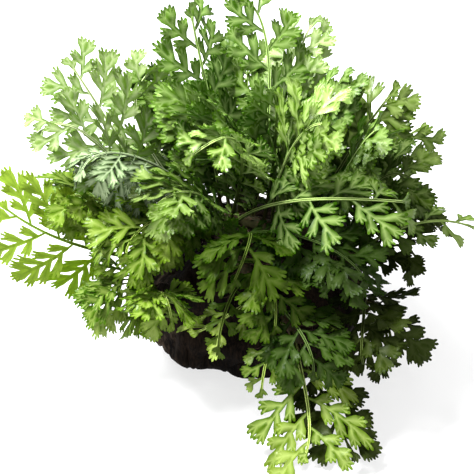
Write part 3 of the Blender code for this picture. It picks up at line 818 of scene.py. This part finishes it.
def add_rib(skin, spine, end, seed, light):
    """The grooved stalk and rib, sunk a little into the rhizome."""
    count = max(FEWEST_RIB_RINGS, round((end + RIB_SUNK) / RIB_RING))
    rings = []
    for step in range(count + 1):
        distance = -RIB_SUNK + (end + RIB_SUNK) * step / count
        centre, along, left, out = spine.frame(max(distance, 0))
        centre = centre + along * min(distance, 0)
        taper = max(distance, 0) / spine.length
        width = STALK_HALF_WIDTH * (1 - taper) + TIP_HALF_WIDTH * taper
        thickness = STALK_HALF_THICKNESS * (1 - taper) + TIP_HALF_THICKNESS * taper
        swell = 1 + 0.07 * noise.noise(Vector((distance * 400, seed, 0)))
        stalk = 1 - smooth_step(0.05, 0.38, taper)
        ring = []
        for x, y, pale in RIB_SECTION:
            point = centre - left * (width * swell * x) + out * (thickness * swell * y)
            painted = {"vein": pale, "young": 0.2 + 0.6 * taper, "stalk": stalk, "tone": 0.5, "rib": 1.0}
            # The rib carries the same painted light as the blades
            ring.append(skin.add(kept_in_box(point), grown_in=light * daylight(centre), **painted))
        rings.append(ring)
    skin.tube([list(reversed(ring)) for ring in rings])


def grow_frond(name, number, rhizomes, material):
    """A frond's rib, the leaflets that its solid has too and, in the thick of the plant, more."""
    spine, spread = form_of(name, number, rhizomes)
    spine.turn += math.radians(FACE_TURNS.get(name, 0))
    sparse, bushy, curled = name in SPARSE_FRONDS, name in BUSHY_FRONDS, name == "frond_curled"
    # light is the frond's painted lightness, below 1 painted shade and above 1 painted light
    fullness, light = FULLNESS.get(name, 1.0), PAINTED_LIGHTNESS.get(name, 1.0)
    fineness = FINENESS.get(name, 1.0)
    skin = Skin()
    dice = random.Random(number + 100)
    count = leaflet_count(spine)
    stalk = spine.length * STALK_SHARE
    pitch = (spine.length - stalk) / (count + 1)
    end = EndLeaflet(spine, stalk + pitch * count)
    add_rib(skin, spine, end.start + end.length * 0.2, number, light)
    seeds = number * SEEDS_A_FROND

    def add(leaflet, size, seed, young):
        add_blade(skin, leaflet, size, seeds + seed, young, dice.random(), light, fineness)

    for index in range(count):
        leaflet = Leaflet(spine, spread, number, index, count)
        width = leaflet.width / LEAFLET_ROOM * ((1.3 if sparse else 1.15) * fullness)
        width = min(width, 0.72 * leaflet.length)
        length = leaflet.length * (1.1 if sparse else 1) * fullness
        if curled:
            leaflet.droop += math.radians(38)
            leaflet.bend += math.radians(20)
        add(leaflet, (length, width), index, (index + 0.5) / (count + 1))
    if not sparse:
        lowest = -round(0.3 * (count + 1))
        places = [(index, True, 0) for index in range(lowest, count - 1)]
        places += [(index, False, 0) for index in range(lowest, 0)]
        if bushy:
            halves = [index + 0.5 for index in range(-1, count - 1)]
            places += [(half, opposite, LAYER_DROOP) for half in halves for opposite in (True, False)]
        for index, opposite, lower in places:
            leaflet = Leaflet(spine, spread, number + 0.37, math.floor(index), count, opposite)
            leaflet.base += leaflet.along * spine.length / (count + 1) * (index % 1) * (1 - STALK_SHARE)
            leaflet.droop += math.radians(dice.uniform(-24, 4) + lower)
            if bushy and index < 0:
                leaflet.length = max(leaflet.length, 0.55 * spread)
                leaflet.width = max(leaflet.width, 0.42 * leaflet.length)
            size = leaflet.length * 0.92 * fullness, leaflet.width / LEAFLET_ROOM * 1.1 * fullness
            if curled:
                leaflet.droop += math.radians(34)
            # The two sides and the second layer have seeds that differ.
            seed = 20 + math.floor(index) + (0 if opposite else 12) + lower * 77
            add(leaflet, size, seed, max(0, (index + 0.5) / (count + 1)))
    add(end, (end.length, 0.8 * end.length), SEEDS_A_FROND - 1, 1.0)
    return skin.build(name + "_blade", material, 50)


def add_scale(skin, base, ahead, out, length, width):
    """A pointed scale, lying back against the stem."""
    across = ahead.cross(out)
    middle = base + ahead * length * 0.4
    corners = [
        skin.add(base - across * width * 0.3, scale=0.3),
        skin.add(middle - across * width * 0.5, scale=0.8),
        skin.add(base + ahead * length, scale=1.0),
        skin.add(middle + across * width * 0.5, scale=0.8),
        skin.add(base + across * width * 0.3, scale=0.3),
    ]
    ridge = skin.add(middle + out * 0.14 * MM, scale=0.5)
    under = skin.add(middle - out * 0.08 * MM, scale=0.5)
    for near, far in zip(corners, corners[1:] + corners[:1]):
        skin.faces.append((near, far, ridge))
        skin.faces.append((far, near, under))


def add_root(skin, start, heading, wood_tree, length, radius, dice):
    """A wiry root that creeps over the wood, unless it soon reaches the ground."""
    points = [start]
    place, normal, _, _ = wood_tree.find_nearest(start)
    while ROOT_STEP * len(points) < length:
        heading = heading + normal.cross(heading) * dice.uniform(-0.55, 0.55)
        heading = (heading - normal * heading.dot(normal)).normalized()
        place, normal, _, _ = wood_tree.find_nearest(place + heading * ROOT_STEP)
        if place.z < ROOT_LOWEST:
            break
        points.append(place + normal * radius * dice.uniform(0.5, 1.4))
    if len(points) < 4:
        return
    rings = []
    for index, point in enumerate(points):
        ahead = (points[min(index + 1, len(points) - 1)] - points[max(index - 1, 0)]).normalized()
        aside = ahead.orthogonal().normalized()
        over = ahead.cross(aside)
        here = radius * (1 - 0.7 * index / (len(points) - 1))
        ring = []
        for side in range(ROOT_SIDES):
            angle = math.tau * side / ROOT_SIDES
            ring.append(skin.add(point + towards(aside, over, angle) * here, root=1.0))
        rings.append(ring)
    skin.tube(rings)


def grow_rhizome(name, rhizome, wood_tree, seed, material):
    """A scaly creeping stem, grown onto the wood along its underside, and its wiry roots."""
    dice = random.Random(seed)
    skin = Skin()
    stations = round(rhizome.length / STEM_RING)
    rings = []
    for step in range(stations + 1):
        share = step / stations
        centre, outward, _, across, over = rhizome.section(share)
        from_end = min(min(share, 1 - share) * rhizome.length / STEM_ROUNDING, 1)
        radius = rhizome.radius(share) * max(0.25, from_end**0.5)
        under = wood_tree.ray_cast(centre, -outward, GRIP_REACH)[0]
        depth = (under - centre).length + GRIP if under else radius
        ring = []
        for side in range(STEM_SIDES):
            turned = towards(across, over, math.tau * side / STEM_SIDES)
            bumps = 1 + 0.12 * noise.noise((centre + turned * radius) * 700)
            below = max(-turned.dot(outward), 0) ** 2 * from_end
            reach = radius * bumps * 0.96 * (1 - below) + depth * below
            ring.append(skin.add(centre + turned * reach, scale=0.0))
        rings.append(ring)
    skin.tube(rings)
    scales = round(rhizome.length / SCALE_PITCH)
    for index in range(scales):
        share = (index + 0.5) / scales
        centre, outward, along, across, over = rhizome.section(share)
        turned = towards(across, over, 2.4 * index + dice.uniform(-0.3, 0.3))
        if turned.dot(outward) < -0.75:
            continue
        lifted = (along + turned * dice.uniform(0.15, 0.5)).normalized()
        out = (turned - lifted * turned.dot(lifted)).normalized()
        base = centre + turned * rhizome.radius(share) * 0.92
        add_scale(skin, base, lifted, out, dice.uniform(1.4, 2.4) * MM, dice.uniform(0.7, 1.1) * MM)
    for _ in range(round(rhizome.length / ROOT_PITCH)):
        share = dice.uniform(0.02, 0.98)
        centre, outward, along, across, _ = rhizome.section(share)
        across = across * dice.choice((1, -1))
        heading = (across + along * dice.uniform(-0.9, 0.9)).normalized()
        start = centre - outward * rhizome.radius(share) * 0.6 + across * rhizome.radius(share) * 0.5
        length, radius = dice.uniform(9, 26) * MM, dice.uniform(0.22, 0.4) * MM
        add_root(skin, start, heading, wood_tree, length, radius, dice)
    return skin.build(name + "_stem", material, 60)


def wood_point(along, angle):
    """A point of the wood's skin: along runs from -1 at the left end to 1, angle round the grain."""
    girth = (1 - 0.5 * abs(along) ** 5) ** 0.5
    hump = 0.88 + 0.12 * math.cos(1.9 * (along - 0.1)) - 0.05 * math.sin(4.4 * along + 0.6)
    left_end = smooth_step(0.35, 1.0, -along)
    right_end = smooth_step(0.7, 1.0, along)
    top = WOOD_HEIGHT * hump * girth**0.9
    bottom = (WOOD_END_LIFT + WOOD_SINK) * left_end + 3 * MM * right_end - WOOD_SINK
    ridges = (
        1
        + 0.034 * math.sin(6 * angle + 2.6 * along + 0.7)
        + 0.024 * math.sin(11 * angle - 3.4 * along + 2.1)
        + 0.04 * math.sin(3 * angle + 4.1 * along + 2.0)
        + 0.025 * math.sin(9.5 * along + 2 * angle)
    )
    hollow = math.exp(-(((along + 0.2) / 0.22) ** 2) - ((angle - 4.0) / 0.3) ** 2)
    knot = math.exp(-(((along - 0.42) / 0.16) ** 2) - ((angle - 4.2) / 0.36) ** 2)
    corner = abs(math.cos(angle)) ** WOOD_SQUARENESS + abs(math.sin(angle)) ** WOOD_SQUARENESS
    reach = (ridges - 0.09 * hollow + 0.08 * knot) * corner ** (-1 / WOOD_SQUARENESS)
    across = WOOD_DEPTH / 2 * girth * (1 - 0.18 * left_end) * reach * math.cos(angle)
    across += 3 * MM * math.sin(2.3 * along)
    height = (top + bottom) / 2 + (top - bottom) / 2 * reach * math.sin(angle)
    ragged = 2.6 * MM * math.sin(5 * angle + 1.0) * smooth_step(0.75, 1.0, abs(along))
    length = WOOD_LENGTH / 2 * along + ragged
    turn_x, turn_y = math.cos(WOOD_YAW), math.sin(WOOD_YAW)
    return Vector((length * turn_x - across * turn_y, length * turn_y + across * turn_x, height))


def wood_relief(point):
    """How deep the surface lies there below the smooth skin: fibres, long cracks and worn hollows."""
    fibres = noise.noise(Vector((point.x * 900, point.y * 900, point.z * 70)))
    strands = noise.noise(Vector((point.x * 320, point.y * 320, point.z * 40)))
    crack = 1 - abs(noise.noise(Vector((point.x * 120, point.y * 120, point.z * 22 + 5))))
    worn = noise.noise(point * 90)
    depth = 0.22 * (fibres + 1) + 0.35 * (strands + 1) / 2 + 1.5 * max(crack - 0.86, 0) / 0.14
    return (depth + 0.5 * (worn + 1) / 2) * MM


def add_wood_end(mesh, ends, outward):
    """The rough, broken face inside this last ring. Its rings are returned, from the rim inwards."""
    middle = sum((corner.co for corner in ends), Vector()) / WOOD_SIDES
    peak = middle + Vector((outward * WOOD_PEAK, 0, 0))
    rings = [ends]
    for step in range(1, WOOD_END_RINGS):
        share = step / WOOD_END_RINGS
        inner = []
        for corner in ends:
            point = corner.co.lerp(peak, share)
            rough = 1.6 * noise.noise(point * 260) + 0.9 * noise.noise(point * 900)
            depth = outward * (rough - 0.9) * MM * min(share * 6, 1)
            inner.append(mesh.verts.new(point + Vector((depth, 0, 0))))
        rings.append(inner)
    tip = mesh.verts.new(peak - Vector((outward * 0.8 * MM, 0, 0)))
    for side in range(WOOD_SIDES):
        mesh.faces.new((rings[-1][side], rings[-1][(side + 1) % WOOD_SIDES], tip))
    return rings[1:]


def build_driftwood(material):
    """The worn chunk, with its fibres and cracks, its broken ends and its flat underside."""
    mesh = bmesh.new()
    centre = Vector((0, 0, WOOD_HEIGHT / 2))
    rings = []
    for station in range(WOOD_STATIONS):
        along = math.sin(math.pi / 2 * (2 * station / (WOOD_STATIONS - 1) - 1))
        ring = []
        for side in range(WOOD_SIDES):
            point = wood_point(along, math.tau * side / WOOD_SIDES)
            inward = centre - point
            inward.x *= 0.3
            ring.append(mesh.verts.new(point + inward.normalized() * wood_relief(point)))
        rings.append(ring)
    left_end, right_end = add_wood_end(mesh, rings[0], -1), add_wood_end(mesh, rings[-1], 1)
    rings = [*reversed(left_end), *rings, *right_end]
    for corners in walls(rings):
        mesh.faces.new(corners)
    skin = mesh.verts[:] + mesh.edges[:] + mesh.faces[:]
    cut = bmesh.ops.bisect_plane(mesh, geom=skin, plane_co=(0, 0, 0), plane_no=UP, clear_inner=True)
    rim = [edge for edge in cut["geom_cut"] if isinstance(edge, bmesh.types.BMEdge)]
    bmesh.ops.contextual_create(mesh, geom=rim)
    bmesh.ops.triangulate(mesh, faces=mesh.faces)
    bmesh.ops.recalc_face_normals(mesh, faces=mesh.faces)
    if mesh.calc_volume(signed=True) < 0:
        bmesh.ops.reverse_faces(mesh, faces=mesh.faces)
    data = bpy.data.meshes.new("driftwood_skin")
    mesh.to_mesh(data)
    mesh.free()
    return dressed("driftwood_skin", data, material, 70)


# Finishes


class Value:
    """A number that varies over a surface. Sums on it add the nodes that work them out."""

    def __init__(self, finish, socket):
        self.finish, self.socket = finish, socket

    def sum(self, operation, first, second, clamp=False):
        settings = {"operation": operation, "use_clamp": clamp}
        return self.finish.node("ShaderNodeMath", settings, {0: first, 1: second})

    def __add__(self, other):
        return self.sum("ADD", self, other)

    __radd__ = __add__

    def __sub__(self, other):
        return self.sum("SUBTRACT", self, other)

    def __rsub__(self, other):
        return self.sum("SUBTRACT", other, self)

    def __mul__(self, other):
        return self.sum("MULTIPLY", self, other)

    __rmul__ = __mul__

    def clamped(self):
        return self.sum("ADD", self, 0.0, clamp=True)


class Finish:
    """A material in the making."""

    def __init__(self, name):
        self.material = bpy.data.materials.new(name)
        self.material.use_nodes = True
        self.tree = self.material.node_tree
        self.tree.nodes.clear()

    def node(self, kind, settings=None, inputs=None, output=0):
        """Adds a node: its settings first, then the values or links of its sockets."""
        made = self.tree.nodes.new(kind)
        for name, value in (settings or {}).items():
            setattr(made, name, value)
        for name, value in (inputs or {}).items():
            socket = made.inputs[name]
            if isinstance(value, Value):
                self.tree.links.new(value.socket, socket)
            else:
                socket.default_value = value
        return Value(self, made.outputs[output])

    def place(self):
        return self.node("ShaderNodeTexCoord", output="Object")

    def noise(self, place, scale, detail=3.0, rough=0.5):
        inputs = {"Vector": place, "Scale": scale, "Detail": detail, "Roughness": rough}
        return self.node("ShaderNodeTexNoise", inputs=inputs, output="Fac")

    def stretched(self, place, sizes):
        return self.node("ShaderNodeVectorMath", {"operation": "MULTIPLY"}, {0: place, 1: sizes})

    def scaled(self, colour, share):
        return self.node("ShaderNodeVectorMath", {"operation": "SCALE"}, {0: colour, 3: share})

    def painted(self, name):
        return self.node("ShaderNodeAttribute", {"attribute_name": name}, output="Fac")

    def mix(self, share, first, second):
        """The second colour over the first, by this share."""
        settings = {"data_type": "RGBA"}
        return self.node("ShaderNodeMix", settings, {0: share, 6: first, 7: second}, output=2)

    def between(self, share, first, second):
        """From the first plain colour to the second, by this share."""
        return self.mix(share, opaque(first), opaque(second))

    def bump(self, height, strength, distance):
        inputs = {"Height": height, "Strength": strength, "Distance": distance}
        return self.node("ShaderNodeBump", inputs=inputs, output="Normal")

    def shown(self, shader):
        output = self.tree.nodes.new("ShaderNodeOutputMaterial")
        self.tree.links.new(shader.socket, output.inputs["Surface"])
        return self.material


def opaque(colour, share=1):
    """The colour, made darker by the share, for a socket that wants four numbers."""
    return (*(part * share for part in colour), 1)


def leaf_finish(name, shade, tip, rib, light, through, rough, wet):
    """A living blade: painted shade in its folds and depths, painted light, young tips, pale ribs,
    translucence.
    """
    finish = Finish(name)
    place = finish.place()
    vein, young = finish.painted("vein"), finish.painted("young")
    tone, stalk, ribbed = finish.painted("tone"), finish.painted("stalk"), finish.painted("rib")
    patches = finish.noise(place, 150, 3)
    cells = finish.noise(place, 2600, 2)
    # Young blades have the tip's colour, and the lightest of them are whitened towards the rib's colour
    # as a painted highlight.
    share = (young * 0.95 + (patches - 0.5) * 1.1 + (tone - 0.5) * 0.8 - 0.08).clamped()
    blade = finish.between(share, shade, tip)
    blade = finish.mix(((share - 0.72) * 1.6).clamped(), blade, opaque(rib))
    speckles = ((cells - 0.5) * 1.2 + 0.35).clamped()
    blade = finish.mix(speckles * 0.35, blade, opaque(shade, 0.55))
    pale = (vein * 0.6 + ribbed * vein * 0.4 + (patches - 0.5) * 0.2).clamped()
    coloured = finish.mix(pale, blade, opaque(rib))
    # The stalk is brown towards its foot.
    coloured = finish.mix((stalk * (0.9 + (patches - 0.5))).clamped(), coloured, opaque(STALK_BROWN))
    # Below 1 the painted light darkens the colour, and above 1 it lightens it. On the rib, a painted
    # highlight lightens the ridges and painted shade darkens the groove, the sides and the underside.
    grown_in = finish.painted("grown_in")
    coloured = finish.mix((1 - grown_in).clamped(), coloured, opaque(shade, 0.25))
    coloured = finish.scaled(coloured, 1 + (grown_in - 1).clamped() + ribbed * ((vein - 0.45) * 1.5))
    roughness = (rough + (cells - 0.5) * 0.25 + (patches - 0.5) * 0.2).clamped()
    inputs = {
        "Base Color": coloured,
        "Roughness": roughness,
        "Specular IOR Level": FAINT_SHEEN,
        "Coat Weight": (share * grown_in * (wet * 2)).clamped(),
        "Coat Roughness": 0.25,
        "Normal": finish.bump(cells * 0.5 + finish.noise(place, 900, 2), 0.35, 0.2 * MM),
    }
    solid = finish.node("ShaderNodeBsdfPrincipled", inputs=inputs)
    lit = finish.node("ShaderNodeBsdfTranslucent", inputs={"Color": opaque(light)})
    factor = ((1 - ribbed) * (1 - vein * 0.35) * through).clamped()
    both = finish.node("ShaderNodeMixShader", inputs={0: factor, 1: solid, 2: lit})
    return finish.shown(both)


def wood_finish():
    """Soaked wood: near black, with fine upright fibres, and greyish flakes at its worn left end."""
    finish = Finish("driftwood_soaked")
    place = finish.place()
    fibres = finish.noise(finish.stretched(place, (1, 1, 0.07)), 1500, 4, 0.6)
    strands = finish.noise(finish.stretched(place, (1, 1, 0.12)), 420, 3)
    patches = finish.noise(place, 60, 4, 0.6)
    rightward = finish.node("ShaderNodeSeparateXYZ", inputs={0: place})
    end = ((rightward * -1 - WORN_FROM) * 70 + (patches - 0.5)).clamped()
    flakes = finish.noise(finish.stretched(place, (1, 1, 0.45)), 430, 5, 0.7)
    share = ((fibres - 0.5) * 2.4 + (patches - 0.5) * 1.6 + 0.2).clamped()
    base = finish.between(share, (0.0014, 0.001, 0.0008), (0.018, 0.0115, 0.0075))
    worn = ((strands - 0.5) * 3 + (flakes - 0.46) * 3.5).clamped() * (end * 0.95 + 0.025)
    colour = finish.mix(worn.clamped(), base, opaque((0.14, 0.103, 0.074)))
    inputs = {
        "Base Color": colour,
        "Roughness": (0.66 + (fibres - 0.5) * 0.5).clamped(),
        "Specular IOR Level": FAINT_SHEEN,
        "Normal": finish.bump(fibres + strands * 0.6 + flakes * end * 2, 0.7, 0.6 * MM),
    }
    return finish.shown(finish.node("ShaderNodeBsdfPrincipled", inputs=inputs))


def stem_finish():
    """The creeping stem: green-brown under papery scales, with dark wiry roots."""
    finish = Finish("rhizome_scaly")
    place = finish.place()
    scale, root = finish.painted("scale"), finish.painted("root")
    patches = finish.noise(place, 500, 3)
    fine = finish.noise(finish.stretched(place, (1, 1, 0.3)), 2400, 3)
    skin = finish.between((patches * 1.4 - 0.2).clamped(), (0.014, 0.016, 0.005), (0.04, 0.038, 0.014))
    papery = finish.between((fine * 1.5 - 0.25).clamped(), (0.012, 0.007, 0.004), (0.075, 0.045, 0.022))
    colour = finish.mix((scale * 1.6).clamped(), skin, papery)
    wiry = finish.between((patches * 1.6 - 0.3).clamped(), (0.008, 0.005, 0.004), (0.05, 0.03, 0.017))
    colour = finish.mix(root, colour, wiry)
    inputs = {
        "Base Color": colour,
        "Roughness": (0.6 + (fine - 0.5) * 0.4).clamped(),
        "Specular IOR Level": 0.1,
        "Normal": finish.bump(fine, 0.5, 0.3 * MM),
    }
    return finish.shown(finish.node("ShaderNodeBsdfPrincipled", inputs=inputs))


# Camera, floor and light


def aim(obj, target):
    obj.rotation_euler = (target - obj.location).to_track_quat("-Z", "Y").to_euler()


def set_camera():
    camera = linked("camera", bpy.data.cameras.new("camera"))
    camera.data.lens = LENS
    camera.data.sensor_width = SENSOR
    camera.data.clip_start = 10 * MM
    away = Vector((0, -math.cos(VIEW_HEIGHT), math.sin(VIEW_HEIGHT)))
    camera.location = VIEW_TARGET + away * VIEW_DISTANCE
    aim(camera, VIEW_TARGET)
    bpy.context.scene.camera = camera


def add_light(name, location, size, power):
    light = bpy.data.lights.new(name, "AREA")
    light.shape = "DISK"
    light.size = size
    light.energy = power
    lamp = linked(name, light)
    lamp.location = Vector(location)
    aim(lamp, LIT_PLACE)


def add_floor():
    mesh = bmesh.new()
    bmesh.ops.create_grid(mesh, x_segments=1, y_segments=1, size=FLOOR_REACH)
    data = bpy.data.meshes.new("floor")
    mesh.to_mesh(data)
    mesh.free()
    finish = Finish("floor_pale")
    inputs = {"Base Color": (0.3, 0.3, 0.3, 1), "Roughness": 0.9, "Specular IOR Level": 0.1}
    inputs |= {"Emission Color": (1, 1, 1, 1), "Emission Strength": 0.7}
    data.materials.append(finish.shown(finish.node("ShaderNodeBsdfPrincipled", inputs=inputs)))
    floor = linked("floor", data)
    floor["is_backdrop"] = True


def set_studio():
    scene = bpy.context.scene
    scene.view_settings.view_transform = "Standard"
    world = bpy.data.worlds.new("studio")
    world.use_nodes = True
    world.node_tree.nodes["Background"].inputs["Color"].default_value = (1, 1, 1, 1)
    world.node_tree.nodes["Background"].inputs["Strength"].default_value = 1.0
    scene.world = world
    add_light("key", (-0.4, -0.08, 0.8), 0.25, 30)
    add_light("back", (-0.4, 0.5, 0.5), 0.4, 12)
    add_floor()


def main():
    set_camera()
    set_studio()
    packed_wood = tree_of(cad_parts["driftwood"].data)
    rhizomes = {name: Rhizome(route, packed_wood) for name, route in RHIZOMES.items()}
    leaves = {}
    for colour, colours in LEAF_COLOURS.items():
        leaves[colour] = leaf_finish(f"{colour}_leaf_blade", *colours, *LEAF_SURFACES[colour])
    for number, name in enumerate(FRONDS):
        colour = FRONDS[name][-1]
        blade = grow_frond(name, number, rhizomes, leaves[colour])
        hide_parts(name)
        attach(blade, "root")
    wood = build_driftwood(wood_finish())
    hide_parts("driftwood")
    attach(wood, "root")
    skin_tree = tree_of(wood.data)
    stem = stem_finish()
    for seed, (name, rhizome) in enumerate(rhizomes.items()):
        made = grow_rhizome(name, rhizome, skin_tree, seed, stem)
        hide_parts(name)
        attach(made, "root")


main()
boxes = {"cad": cad_box, "visual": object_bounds()}
{name: [list(corner) for corner in box] for name, box in boxes.items()}
